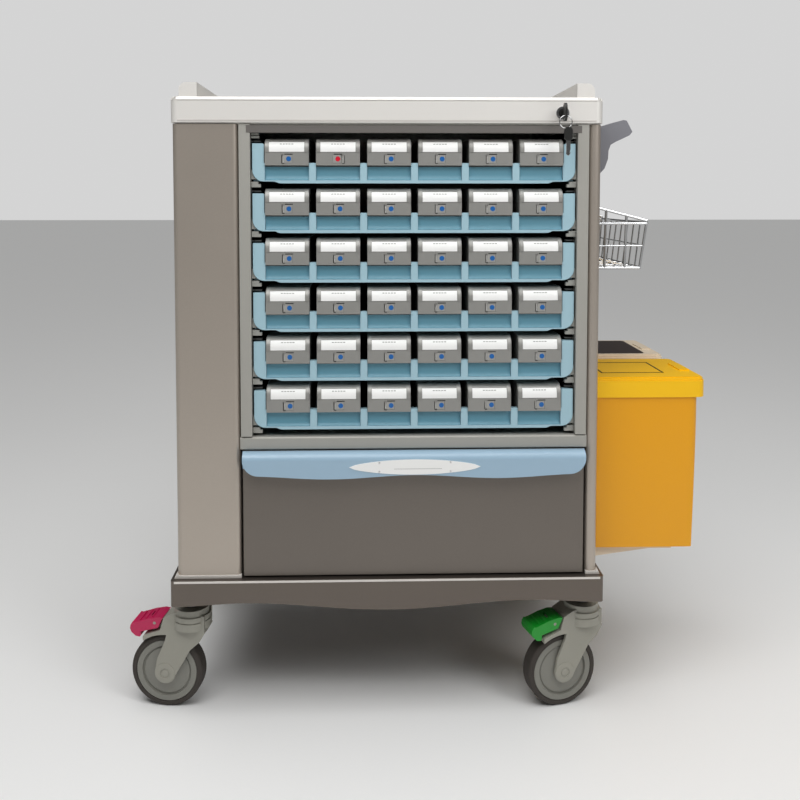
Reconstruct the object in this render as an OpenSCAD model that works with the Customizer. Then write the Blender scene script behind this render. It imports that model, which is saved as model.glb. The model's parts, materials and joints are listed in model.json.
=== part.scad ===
// Hospital medication trolley: a steel and ABS cabinet on four swivel casters.
// Six pull-out trays hold six lidded cassettes each, over one deep drawer.
// The right wall carries a push handle, a wire basket and two waste bins.

/* [Cabinet] */
// Width of the cabinet across its posts
cab_w = 695; // [620:1:840]
// Depth of the cabinet from front to back
cab_d = 500; // [440:1:600]
// Height of the worktop above the floor
top_h = 1026; // [940:1:1240]
// Thickness of the worktop
top_t = 41; // [30:1:55]
// Thickness of the worktop's upper skin
top_skin = 6; // [3:1:12]
// Radius of the worktop's upper edge
slab_r = 6; // [3:0.5:10]
// Radius of the worktop's corners, seen from above
corner_r = 12; // [8:1:20]
// How far the worktop stands out past the posts
top_over = 2.5; // [1:0.5:8]
// Height of the shadow gap under the worktop
top_gap = 2; // [1:0.5:6]
// Width of the wide left post
left_post_w = 105; // [85:1:130]
// Width of the narrow right post, seen from the front
right_post_w = 19; // [15:1:30]
// Depth of all four posts
post_d = 60; // [45:1:80]
// Wall thickness of the posts
post_wall = 3; // [2:0.5:5]
// Outer radius of the posts' corners
post_r = 9; // [4:1:14]
// Thickness of the side and back panels
panel_t = 2; // [1:0.5:4]
// Width of the stiles at each side of the bay
stile_w = 18; // [12:1:26]
// Seam between a post and its stile
seam = 1.5; // [0.5:0.5:3]
// Height of the header bar over the trays
header_h = 13; // [8:1:22]
// Height of the rail between the trays and the drawer
divider_h = 21; // [14:1:32]

/* [Guard rail] */
// Width of the rail's section
rail_w = 29; // [20:1:40]
// Height of the rail above the worktop
rail_h = 24; // [15:1:40]
// Height of the raised field inside the rail
field_h = 1; // [0.5:0.5:3]
// Distance from the worktop's edge to the rail
rail_inset = 13; // [6:1:30]

/* [Base] */
// Height of the base's upper face above the floor
base_top = 237; // [210:1:270]
// How far the base stands out past the posts
base_over = 10; // [4:1:16]
// Height of the base's highest scallop above the floor
skirt_high = 199; // [190:1:206]
// Depth of the middle lobe below the highest scallop
skirt_lobe = 13.5; // [4:0.5:18]
// Drop of the skirt's ends below the highest scallop
skirt_end = 5; // [3:0.5:12]

// Thickness of the base's deck
deck_t = 12; // [6:1:20]

/* [Trays] */
// Gap between a tray's front and each side of the bay
tray_gap = 3; // [2:0.5:6]
// Clearance under the lowest tray
bay_foot = 11.5; // [6:0.5:20]
// Clearance over the highest tray's space
bay_head = 1.5; // [0:0.5:10]
// Height of the tray's front at its two ends
ear_h = 64.5; // [55:0.5:70]
// Height of the tray's front between the cassettes
lip_h = 33; // [26:1:40]
// Radius of the tray front's lower corners
ear_r = 19; // [8:1:24]
// Thickness of the tray's front
tray_front_t = 12; // [9:1:16]
// Length of the tray behind its front
tray_l = 400; // [300:1:420]
// Height of the tray's side walls
tray_side_h = 40; // [25:1:50]
// Thickness of the tray's floor and walls
tray_wall = 2.5; // [2:0.5:4]
// Width of the tray front beyond the outermost rib
tray_end = 8.4; // [6:0.1:14]
// Height of a runner ledge
ledge_h = 10.5; // [8:0.5:14]
// How far a runner ledge reaches into the bay
ledge_w = 14; // [10:0.5:18]

/* [Cassettes] */
// Gap between two cassettes
cassette_gap = 12; // [8:0.5:18]
// Height of a cassette's front
cassette_h = 43.5; // [38:0.5:44]
// Height of a cassette's front above the tray's lower edge
cassette_z = 29; // [28:0.5:32]
// Height of the flat part that carries the latch
flat_h = 21; // [18:0.5:23]
// Radius of the lid's front shoulder
shoulder_r = 18; // [8:1:20]
// Length of a cassette
cassette_l = 360; // [200:1:380]
// Wall thickness of a cassette
cassette_wall = 2; // [1.5:0.5:3]
// Side of the square status slide
slide_s = 13; // [10:0.5:14]
// Travel of the status slide
slide_travel = 3.5; // [2:0.5:4]

/* [Drawer] */
// Gap round the drawer's front
drawer_gap = 3.5; // [2:0.5:6]
// Thickness of the drawer's front
drawer_front_t = 18; // [12:1:24]
// Length of the drawer behind its front
drawer_l = 410; // [300:1:425]
// Height of the drawer's box
drawer_box_h = 150; // [100:1:170]
// Thickness of the drawer's sheet
drawer_wall = 2; // [1:0.5:3]
// How far the pull stands out from the drawer's front
pull_d = 20; // [16:1:28]
// Height of the pull's lip at its middle
pull_h = 36; // [26:1:50]
// How much lower the lip reaches at its two waves
pull_wave = 6; // [2:0.5:10]
// Thickness of the pull's lip
pull_t = 4; // [3:0.5:6]
// Length of the label card on the pull
card_l = 214; // [150:1:260]
// Height of the label card
card_h = 25; // [18:1:28]

/* [Lock] */
// Distance from the worktop's right end to the lock
lock_x = 68; // [50:1:90]
// Radius of the lock's face
lock_r = 10.5; // [9:0.5:14]
// Radius of the turning plug
plug_r = 7; // [5:0.5:8]
// Radius of the key ring
ring_r = 10; // [8:1:15]

/* [Push handle] */
// How far the handle stands out from the side
handle_out = 71; // [60:1:90]
// Length of the handle along the side
handle_l = 370; // [280:1:370]
// Height of the handle's highest point above the floor
handle_top = 996; // [900:1:1010]
// Thickness of the handle's end brackets
handle_end = 28; // [20:1:40]

/* [Wire basket] */
// How far the basket stands out from the side
basket_out = 115; // [90:1:150]
// Length of the basket along the side
basket_l = 300; // [220:1:320]
// Height of the basket's floor at the wall
basket_z = 740; // [700:1:760]
// Height of the basket's outer side
basket_h = 84; // [60:1:95]
// Height of the basket's side at the wall
basket_wall_h = 112; // [90:1:125]
// How much narrower the basket is at its floor, on each side
basket_taper = 9; // [0:1:20]
// Radius of the frame's wire
rod_r = 2.5; // [2:0.5:4]
// Radius of the mesh's wire
wire_r = 1.5; // [1:0.5:2]

/* [Bins] */
// Width of a bin along the side
bin_w = 171; // [140:1:190]
// Distance between the two bins' centres
bin_pitch = 217; // [205:1:225]
// Distance from the cabinet's front to the first bin
bin_y = 55; // [30:1:70]
// Depth of a bin at its rim
bin_d = 188; // [150:1:220]
// How much shallower a bin is at its floor
bin_taper = 9; // [0:1:20]
// Height of a bin's floor above the floor
bin_z = 260; // [245:1:300]
// Height of a bin without its lid
bin_h = 262; // [200:1:300]
// Wall thickness of a bin
bin_wall = 2.5; // [2:0.5:4]
// Radius of a bin's corners
bin_r = 14; // [8:1:24]
// Height of a bin's lid
lid_h = 35; // [24:1:45]
// How far a lid stands out past its bin
lid_over = 11; // [6:1:14]

/* [Casters] */
// Distance from the cabinet's side to the swivel
caster_in = 14.5; // [14:0.5:40]
// Distance from the cabinet's front to the swivel
caster_y = 45; // [35:1:70]
// Radius of the wheel
wheel_r = 62; // [52:0.5:66]
// Width of the wheel
wheel_w = 30; // [22:1:34]
// Thickness of the rubber tyre
tyre_t = 9; // [6:0.5:14]
// Distance from the swivel to the axle
trail = 41; // [30:1:45]
// Radius of the swivel's head
head_r = 32; // [26:1:36]
// Radius of the axle
axle_r = 4; // [3:0.5:6]
// Radius of the stem
stem_r = 9; // [6:0.5:12]
// Turn of the front left, front right, rear left and rear right casters, in degrees
caster_turn = [-8, 15, 12, -10]; // [-30:1:30]

/* [Fits] */
// Radial clearance of a turning shaft in its bore
run_clear = 0.05; // [0.02:0.01:0.1]
// Clearance between pieces that slide past each other
slide_clear = 0.4; // [0.3:0.1:1]

/* [Hidden] */
$fn = 64;
rows = 6;
cols = 6;
eps = 0.01;

// Cabinet planes, measured from the middle of the cabinet.
half_w = cab_w / 2;
front_y = -cab_d / 2;
back_y = cab_d / 2;
slab_bottom = top_h - top_t;
post_top = slab_bottom - top_gap;
left_in = -half_w + left_post_w;
right_in = half_w - right_post_w;
bay_x0 = left_in + seam + stile_w;
bay_x1 = right_in - seam - stile_w;
bay_mid = (bay_x0 + bay_x1) / 2;
liner_t = 2;
fit_gap = 0.2;
stile_d = 25;
header_z = post_top - header_h;
side_inset = 1.5;
panel_inset = 6;
panel_back = back_y - panel_inset - panel_t;
bay_back = back_y - post_d - fit_gap;

// Drawer and divider heights, from the base up.
drawer_z0 = base_top + drawer_gap;
drawer_space = 235;
divider_z1 = base_top + drawer_space;
divider_z0 = divider_z1 - divider_h;
drawer_z1 = divider_z0 - slide_clear * 4;
drawer_x0 = left_in + drawer_gap;
drawer_x1 = right_in - drawer_gap;
drawer_w = drawer_x1 - drawer_x0;
drawer_mid = (drawer_x0 + drawer_x1) / 2;
drawer_face = front_y + 1;
drawer_back = drawer_face + drawer_front_t;
channel_h = 36;
rail_z = drawer_z0 + 70;
rail_gap = 12;
rail_gap_in = 4;

// Tray rows.
tray_pitch = (header_z - divider_z1 - bay_foot - bay_head) / rows;
tray_z0 = divider_z1 + bay_foot;
tray_w = bay_x1 - bay_x0 - 2 * tray_gap;
tray_x0 = bay_x0 + tray_gap;
tray_face = front_y + 6;
tray_in = tray_face + tray_front_t;
tray_step = 3;
ear_w = tray_end + cassette_gap - 1.5;
tray_body_w = tray_w - 2 * (ledge_w - tray_gap + slide_clear);
cassette_pitch = (tray_w - 2 * tray_end - cassette_gap) / cols;
cassette_w = cassette_pitch - cassette_gap;
nose_y = tray_face - 3;
slide_z = cassette_z + flat_h / 2;
slide_x = 0;
slot_w = slide_s + slide_travel + 2 * slide_clear;
slot_h = slide_s + 2 * slide_clear;
slot_d = 2.4;

// Casters.
stem_show = 21;
caster_x = half_w - caster_in;
caster_yy = -front_y - caster_y;
head_top = skirt_high - skirt_end - stem_show;
head_z = head_top - 34;
stem_in = 24;
fork_gap = 2;
arm_t = 5;
boss_r = 18;
tyre_gap = 4;
arm_y = wheel_w / 2 + fork_gap;
pedal_w = 2 * (arm_y + arm_t) - 3;
pedal_x = -trail - 18;
pedal_z = head_top - 26;
pin_r = 2.5;
tongue_w = 16;
tongue_r = 7;
tongue_gap = 0.5;
crown_end = -trail - 4;

// Wall-hung pieces on the right side.
side_x = half_w - side_inset;
bin_y0 = front_y + bin_y;
bin_x0 = side_x + 2;
bin_top = bin_z + bin_h;
shelf_t = 7;
lid_y_over = 3;

// Lock.
lock_cx = half_w + top_over - lock_x;
lock_cz = top_h - 25;
lock_face = front_y - top_over - 4;
key_hole_y = lock_face - 22;
key_hole_z = lock_cz - 6;
bow_t = 3.5;
bow_hole = 3.2;
ring_wire = 0.8;

// Overall box, so that the origin is the middle of the footprint.
x_low = -caster_x - trail - wheel_r - 1.5;
x_high = bin_x0 + bin_d + lid_over;
bow_mid = lock_face - 17;
bow_half_d = 9.5;
bow_half_h = 14.5;
y_low = bow_mid - bow_half_d;
y_high = back_y + base_over;
cab_x = -(x_low + x_high) / 2;
cab_y = -(y_low + y_high) / 2;

// ---- helpers ----

// Moves from the cabinet's middle to the origin on the floor.
module at_cabinet() {
    translate([cab_x, cab_y, 0]) children();
}

// Box between two corners.
module span(lo, hi) {
    translate(lo) cube([hi[0] - lo[0], hi[1] - lo[1], hi[2] - lo[2]]);
}

// Rectangle with rounded corners between two corners, built from exact circles.
module round_rect(lo, hi, r) {
    translate([lo[0] + r, lo[1]]) square([hi[0] - lo[0] - 2 * r, hi[1] - lo[1]]);
    translate([lo[0], lo[1] + r]) square([hi[0] - lo[0], hi[1] - lo[1] - 2 * r]);
    for (x = [lo[0] + r, hi[0] - r]) {
        for (y = [lo[1] + r, hi[1] - r]) translate([x, y]) circle(r);
    }
}

// Upright prism of a rounded rectangle.
module round_slab(lo, hi, r) {
    translate([0, 0, lo[2]])
        linear_extrude(hi[2] - lo[2]) round_rect([lo[0], lo[1]], [hi[0], hi[1]], r);
}

// Extrudes an outline drawn in X and Z along Y, from y0 to y1.
module along_y(y0, y1) {
    translate([0, y1, 0]) rotate([90, 0, 0]) linear_extrude(y1 - y0) children();
}

// Extrudes an outline drawn in Y and Z along X, from x0 to x1.
module along_x(x0, x1) {
    translate([x0, 0, 0]) rotate([90, 0, 90]) linear_extrude(x1 - x0) children();
}

// Points of an arc in degrees.
function arc(c, r, a0, a1, n) =
    [for (i = [0:n]) let (a = a0 + (a1 - a0) * i / n) [c[0] + r * cos(a), c[1] + r * sin(a)]];

// ---- cabinet ----

module top_cover() color("Gainsboro") at_cabinet() {
    half = half_w + top_over;
    deep = -front_y + top_over;
    neck = 6;
    wall = 22;
    difference() {
        union() {
            round_slab([-half, -deep, slab_bottom], [half, deep, top_h - slab_r], corner_r);
            round_slab([-half + slab_r * 0.3, -deep + slab_r * 0.3, top_h - slab_r],
                [half - slab_r * 0.3, deep - slab_r * 0.3, top_h - slab_r * 0.3], corner_r);
            round_slab([-half + slab_r, -deep + slab_r, top_h - slab_r * 0.3],
                [half - slab_r, deep - slab_r, top_h], corner_r - slab_r / 2);
            round_slab([-half + rail_inset + rail_w + rail_gap_in, front_y + 6, top_h - field_h],
                [half - rail_inset - rail_w - rail_gap_in, back_y - 4 - rail_w - rail_gap_in, top_h + field_h], 6);
            round_slab([-half_w + neck, front_y + neck, post_top],
                [half_w - neck, back_y - neck, slab_bottom], 2);
        }
        span([-half_w + wall, front_y + wall, post_top - 1], [half_w - wall, back_y - wall, top_h - top_skin]);
    }
}

// Section of the rail: upright inside, rounded outside.
module rail_section() {
    intersection() {
        union() {
            square([rail_w, rail_h - 12]);
            translate([12, 0]) square([rail_w - 12, rail_h]);
            translate([12, rail_h - 12]) circle(12);
        }
        square([rail_w, rail_h]);
    }
}

module guard_rail() color("Silver") at_cabinet() {
    outer = half_w + top_over - rail_inset;
    front = front_y + 6;
    back = back_y - 4;
    for (side = [-1, 1]) {
        translate([side * outer, 0, top_h]) mirror([side > 0 ? 1 : 0, 0, 0])
            along_y(front, back - rail_w) rail_section();
    }
    translate([0, back, top_h]) mirror([0, 1, 0]) along_x(-outer, outer) rail_section();
}

// Hollow post with rounded corners, except those on its square side, where the panels meet it.
module post(x0, x1, y0, y1, square_lo, square_hi) {
    difference() {
        union() {
            round_slab([x0, y0, base_top], [x1, y1, post_top], post_r);
            span([square_lo[0], square_lo[1], base_top], [square_hi[0], square_hi[1], post_top]);
        }
        round_slab([x0 + post_wall, y0 + post_wall, base_top - 1],
            [x1 - post_wall, y1 - post_wall, post_top + 1], post_r - post_wall);
    }
}

module left_post() color("LightGray") at_cabinet()
    post(-half_w, left_in, front_y, front_y + post_d,
        [-half_w, front_y + post_d - post_r], [left_in, front_y + post_d]);

module right_post() color("LightGray") at_cabinet()
    post(right_in, half_w, front_y, front_y + post_d,
        [right_in, front_y + post_d - post_r], [half_w, front_y + post_d]);

module rear_posts() color("LightGray") at_cabinet() {
    front_edge = back_y - post_d;
    for (side = [-1, 1]) {
        inner = side * (half_w - post_d);
        x0 = min(side * half_w, inner);
        x1 = max(side * half_w, inner);
        difference() {
            union() {
                round_slab([x0, front_edge, base_top], [x1, back_y, post_top], post_r);
                span([x0, front_edge, base_top], [x1, front_edge + post_r, post_top]);
                span([min(inner, inner + side * post_r), front_edge, base_top],
                    [max(inner, inner + side * post_r), back_y, post_top]);
            }
            span([x0 + post_wall, front_edge + post_wall, base_top - 1],
                [x1 - post_wall, back_y - post_wall - 1, post_top + 1]);
        }
    }
}

module wall_panels() color("LightGray") at_cabinet() {
    for (side = [-1, 1]) {
        mid = side * (half_w - side_inset - panel_t / 2);
        span([mid - panel_t / 2, front_y + post_d, base_top], [mid + panel_t / 2, back_y - post_d, post_top]);
    }
    span([-half_w + post_d, panel_back, base_top], [half_w - post_d, panel_back + panel_t, post_top]);
}

// Stiles at each side of the bay and the header bar, set back, over the trays.
module bay_frame() color("DarkGray") at_cabinet() {
    for (x = [left_in + seam, bay_x1]) {
        span([x, front_y, divider_z1 + seam], [x + stile_w, front_y + stile_d, post_top]);
    }
    span([bay_x0 + fit_gap, front_y + 10, header_z], [bay_x1 - fit_gap, front_y + stile_d, post_top]);
}

module divider_shelf() color("Silver") at_cabinet() {
    round_r = 3;
    along_x(left_in, right_in) round_rect([front_y + 1, divider_z0], [front_y + stile_d, divider_z1], round_r);
    span([bay_x0, front_y + stile_d, divider_z1 - 8], [bay_x1, bay_back, divider_z1 - 6]);
}

// Lower edge of the skirt at a distance x from its middle.
function skirt_z(x, half) = let (top = half * 0.66)
    abs(x) < top ? skirt_high - skirt_lobe * (1 + cos(180 * x / top)) / 2
    : skirt_high - skirt_end * (1 - cos(180 * (abs(x) - top) / (half - top))) / 2;

module skirt_outline(half) {
    n = 40;
    polygon(concat([for (i = [0:n]) let (x = -half + 2 * half * i / n) [x, skirt_z(x, half)]],
        [[half, base_top], [-half, base_top]]));
}

module base_skirt() color("DimGray") at_cabinet() {
    wide = half_w + base_over;
    deep = -front_y + base_over;
    thick = 10;
    for (side = [-1, 1]) {
        intersection() {
            along_y(min(side * deep, side * (deep - thick)), max(side * deep, side * (deep - thick)))
                skirt_outline(wide);
            round_slab([-wide, -deep, 0], [wide, deep, base_top], 6);
        }
        span([min(side * wide, side * (wide - thick)), -deep + thick, skirt_high - skirt_end],
            [max(side * wide, side * (wide - thick)), deep - thick, base_top]);
    }
}

module base_deck() color("DimGray") at_cabinet() {
    wide = half_w + base_over - 10;
    deep = -front_y + base_over - 10;
    span([-wide, -deep, base_top - deck_t], [wide, deep, base_top]);
    for (i = [0:3]) {
        translate([caster_px(i), caster_py(i), skirt_high]) cylinder(h = base_top - deck_t - skirt_high, r = stem_r + 5);
    }
}

module caster_stems() color("SlateGray") at_cabinet() {
    for (i = [0:3]) {
        translate([caster_px(i), caster_py(i), 0]) {
            translate([0, 0, head_top - stem_in]) cylinder(h = skirt_high - head_top + stem_in, r = stem_r);
            translate([0, 0, head_top + 1]) cylinder(h = skirt_high - head_top - 1, r = stem_r + 5);
        }
    }
}

function caster_px(i) = i % 2 == 0 ? -caster_x : caster_x;
function caster_py(i) = i < 2 ? -caster_yy : caster_yy;

// Liners at each side of the bay, with a ledge under each tray and one over the top tray.
module tray_runners() color("Silver") at_cabinet() {
    for (side = [0, 1]) {
        x0 = side == 0 ? bay_x0 - liner_t : bay_x1;
        span([x0, front_y + stile_d, divider_z1 - 6], [x0 + liner_t, bay_back, header_z]);
        for (k = [0:rows]) {
            z1 = min(tray_z0 + k * tray_pitch + tray_step, header_z);
            xl = side == 0 ? bay_x0 : bay_x1 - ledge_w;
            span([xl, tray_in + 2, z1 - ledge_h], [xl + ledge_w, bay_back - 20, z1]);
        }
    }
}

// Two fixed channels that guide the drawer.
module drawer_rails() color("Silver") at_cabinet() {
    y0 = front_y + stile_d;
    y1 = bay_back;
    for (side = [0, 1]) {
        wall = side == 0 ? drawer_x0 : drawer_x1 - 3;
        lip = side == 0 ? drawer_x0 + 3 : drawer_x1 - rail_gap + 2;
        span([wall, y0, base_top], [wall + 3, y1, divider_z0 - 2]);
        for (z = [rail_z, rail_z + channel_h - 2]) {
            span([lip, y0, z], [lip + rail_gap - 5, y1, z + 2]);
        }
    }
}

// ---- trays ----

// Front of a tray, seen from the front: raised ends, a low middle and a stepped lower edge.
module tray_outline() {
    step_x = 36;
    low = [[step_x, tray_step], [step_x + 8, 0], [tray_w - step_x - 8, 0], [tray_w - step_x, tray_step]];
    polygon(concat(
        arc([ear_r, ear_r + tray_step], ear_r, 180, 270, 12), low,
        arc([tray_w - ear_r, ear_r + tray_step], ear_r, 270, 360, 12),
        [[tray_w, ear_h], [tray_w - ear_w + 2, ear_h], [tray_w - ear_w, ear_h - 2], [tray_w - ear_w, lip_h],
         [ear_w, lip_h], [ear_w, ear_h - 2], [ear_w - 2, ear_h], [0, ear_h]]));
}

module tray(row) color("LightBlue") at_cabinet()
    translate([tray_x0, 0, tray_z0 + row * tray_pitch]) {
        difference() {
            along_y(tray_face, tray_in) tray_outline();
            for (c = [0:cols - 1]) {
                x = cassette_x(c) - slide_clear;
                span([x, tray_face - 1, 5], [x + cassette_w + 2 * slide_clear, tray_face + 6, lip_h + 1]);
                span([x, tray_face - 1, cassette_z - 2],
                    [x + cassette_w + 2 * slide_clear, tray_in + 1, lip_h + 1]);
            }
        }
        z1 = tray_step + slide_clear;
        span([slide_clear, tray_in, z1], [tray_w - slide_clear, tray_in + tray_l, z1 + tray_wall]);
        x0 = (tray_w - tray_body_w) / 2;
        for (x = [x0, x0 + tray_body_w - tray_wall]) {
            span([x, tray_in, z1], [x + tray_wall, tray_in + tray_l, tray_side_h]);
        }
        span([x0, tray_in + tray_l - tray_wall, z1], [x0 + tray_body_w, tray_in + tray_l, tray_side_h]);
    }

function cassette_x(c) = tray_end + cassette_gap + c * cassette_pitch;

// Side view of the lid: a quarter round shoulder at the front.
module lid_side(r, front, back, z0, z1) {
    difference() {
        translate([front, z0]) square([back - front, z1 - z0]);
        translate([front, z1 - r]) difference() {
            translate([-eps, 0]) square([r + eps, r + eps]);
            translate([r, 0]) circle(r);
        }
    }
}

// One cassette: a box whose front hangs over the tray's lip, and its lid.
module cassette() {
    w = cassette_w;
    t = cassette_wall;
    in_y = tray_in + slide_clear;
    end_y = nose_y + cassette_l;
    split = cassette_z + flat_h;
    top = cassette_z + cassette_h;
    z0 = tray_step + slide_clear + tray_wall;
    difference() {
        union() {
            span([0, in_y, z0], [w, end_y, split]);
            span([0, nose_y, cassette_z], [w, in_y + t, split]);
        }
        span([t, in_y + t, z0 + t], [w - t, end_y - t, split + 1]);
        sx = w / 2 + slide_x - slot_w / 2;
        span([sx, nose_y - 1, slide_z - slot_h / 2], [sx + slot_w, nose_y + slot_d, slide_z + slot_h / 2]);
    }
    seam_z = split + 0.3;
    difference() {
        along_x(0, w) lid_side(shoulder_r, nose_y, end_y, seam_z, top);
        along_x(t, w - t) lid_side(shoulder_r - t, nose_y + t, end_y - t, seam_z - 1, top - t);
    }
}

module cassettes(row) color("DarkGray") at_cabinet()
    translate([tray_x0, 0, tray_z0 + row * tray_pitch]) {
        for (c = [0:cols - 1]) translate([cassette_x(c), 0, 0]) cassette();
    }

// Square status slide in its recess: side 1 stands to the right, side -1 to the left.
module status_slide(row, c, side) at_cabinet()
    translate([tray_x0 + cassette_x(c) + cassette_w / 2 + slide_x + side * slide_travel / 2, 0,
            tray_z0 + row * tray_pitch + slide_z]) {
        span([-slide_s / 2, nose_y + 0.3, -slide_s / 2], [slide_s / 2, nose_y + slot_d - 0.3, slide_s / 2]);
    }

// The used cassette is the second one of the highest tray.
used_row = 5;
used_col = 1;

module slides(row) color("Gray") {
    for (c = [0:cols - 1]) {
        if (row != used_row || c != used_col) status_slide(row, c, 1);
    }
}

module slide_used() color("Crimson") status_slide(used_row, used_col, -1);

// ---- drawer ----

module drawer_front() color("DimGray") at_cabinet() {
    t = 1.5;
    difference() {
        round_slab([drawer_x0, drawer_face, drawer_z0], [drawer_x1, drawer_back, drawer_z1], 2);
        span([drawer_x0 + t, drawer_face + t, drawer_z0 + t], [drawer_x1 - t, drawer_back - t, drawer_z1 - t]);
        span([drawer_mid - 20, drawer_back - 5, drawer_z0 + 100],
            [drawer_mid + 20, drawer_back + 1, drawer_z0 + 140]);
    }
}

module drawer_box() color("Silver") at_cabinet() {
    x0 = drawer_x0 + rail_gap;
    x1 = drawer_x1 - rail_gap;
    z0 = drawer_z0 + 8;
    t = drawer_wall;
    difference() {
        span([x0, drawer_back, z0], [x1, drawer_back + drawer_l, z0 + drawer_box_h]);
        span([x0 + t, drawer_back + t, z0 + t], [x1 - t, drawer_back + drawer_l - t, z0 + drawer_box_h + 1]);
    }
    for (side = [0, 1]) {
        x = side == 0 ? x0 - 5 : x1;
        span([x, drawer_back + 15, rail_z + 2 + slide_clear],
            [x + 5, drawer_back + drawer_l, rail_z + channel_h - 2 - slide_clear]);
    }
}

// Lower edge of the pull's lip at a distance x from its middle.
function pull_z(x) = drawer_z1 - pull_h - pull_wave * (1 - cos(360 * x / (drawer_w * 0.49))) / 2;

module pull_outline() {
    n = 48;
    end_r = 26;
    half = drawer_w / 2 - 1.5;
    flat = half - end_r;
    polygon(concat(
        [for (i = [0:n]) let (x = -flat + 2 * flat * i / n) [drawer_mid + x, pull_z(x)]],
        arc([drawer_mid + flat, pull_z(flat) + end_r], end_r, 270, 360, 10),
        [[drawer_mid + half, drawer_z1], [drawer_mid - half, drawer_z1]],
        arc([drawer_mid - flat, pull_z(flat) + end_r], end_r, 180, 270, 10)));
}

// Curled pull along the drawer's upper edge, open below for the fingers.
module drawer_pull() color("LightSteelBlue") at_cabinet() {
    web = 9;
    curl = 12;
    intersection() {
        along_y(drawer_face - pull_d, drawer_face) pull_outline();
        along_x(drawer_x0, drawer_x1) difference() {
            translate([drawer_face - pull_d, drawer_z1 - 60]) square([pull_d, 60]);
            translate([drawer_face - pull_d + pull_t, drawer_z1 - 61])
                square([pull_d - pull_t + 1, 61 - web]);
            translate([drawer_face - pull_d, drawer_z1 - curl]) difference() {
                translate([-1, 0]) square([curl + 1, curl + 1]);
                translate([curl, 0]) circle(curl);
            }
        }
    }
    span([drawer_x0, drawer_face - 1, drawer_z1 - 29], [drawer_x1, drawer_face, drawer_z1]);
}

// Boat-shaped label card on the face of the pull.
module label_card() color("White") at_cabinet() {
    cx = drawer_mid;
    top = drawer_z1 - 10;
    n = 24;
    half = card_l / 2;
    along_y(drawer_face - pull_d - 0.8, drawer_face - pull_d)
        polygon([for (i = [0:n]) let (x = -half + card_l * i / n, k = pow(cos(90 * x / half), 0.6))
            [cx + x, top - card_h * 0.5 - card_h * 0.5 * k], 
            for (i = [0:n]) let (x = half - card_l * i / n, k = pow(abs(cos(90 * x / half)), 0.6))
            [cx + x, top - card_h * 0.5 + card_h * 0.5 * k]]);
}

// ---- lock ----

module lock_barrel() color("Silver") at_cabinet()
    translate([lock_cx, 0, lock_cz]) rotate([90, 0, 0]) difference() {
        translate([0, 0, -front_y + top_over]) cylinder(h = 4, r = lock_r);
        translate([0, 0, -front_y + top_over + 0.6]) cylinder(h = 10, r = plug_r + run_clear);
    }

// Plug, short blade and flat bow of the key that stands in the lock.
module key() color("Black") at_cabinet() {
    translate([lock_cx, lock_face + 3.2, lock_cz]) rotate([90, 0, 0]) cylinder(h = 2.8, r = plug_r);
    span([lock_cx - 1.2, lock_face - 12, lock_cz - 4], [lock_cx + 1.2, lock_face + 0.5, lock_cz + 4]);
    difference() {
        translate([lock_cx - bow_t / 2, bow_mid, lock_cz]) rotate([0, 90, 0]) linear_extrude(bow_t)
            round_rect([-bow_half_h, -bow_half_d], [bow_half_h, bow_half_d], bow_half_d - 0.5);
        translate([lock_cx - bow_t, key_hole_y, key_hole_z]) rotate([0, 90, 0])
            cylinder(h = 2 * bow_t, r = bow_hole);
    }
}

// Split ring that hangs from the hole in the key's bow.
module key_ring() color("Silver") at_cabinet()
    translate([lock_cx, key_hole_y, key_hole_z - ring_r]) rotate([90, 0, 0])
        rotate_extrude() translate([ring_r, 0]) circle(ring_wire, $fn = 24);

// ---- push handle, basket and bins ----

// Side view of an end bracket, from the wall outwards.
module handle_side() {
    top = handle_top;
    out = handle_out;
    foot = top - 93;
    polygon([[0, top - 22], [out * 0.24, top - 14], [out * 0.46, top - 6], [out * 0.78, top],
        [out * 0.86, top - 1], [out, top - 20], [out * 0.93, top - 26], [out * 0.6, top - 37],
        [out * 0.48, top - 42], [out * 0.43, top - 52], [out * 0.42, top - 66],
        [out * 0.34, top - 82], [out * 0.2, foot], [0, foot]]);
}

// Cross section of the grip: the outer end of the bracket.
module grip_side() {
    intersection() {
        handle_side();
        translate([handle_out * 0.6, handle_top - 50]) square([handle_out, 60]);
    }
}

module push_handle() color("Gray") at_cabinet() translate([side_x, 0, 0]) {
    for (y = [-handle_l / 2, handle_l / 2 - handle_end]) {
        along_y(y, y + handle_end) handle_side();
    }
    along_y(-handle_l / 2 + handle_end - eps, handle_l / 2 - handle_end + eps) grip_side();
}

// Straight wire between two points.
module wire(a, b, r) {
    d = b - a;
    translate(a) rotate([0, acos(d[2] / norm(d)), atan2(d[1], d[0])])
        cylinder(h = norm(d), r = r, $fn = 8);
}

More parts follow.
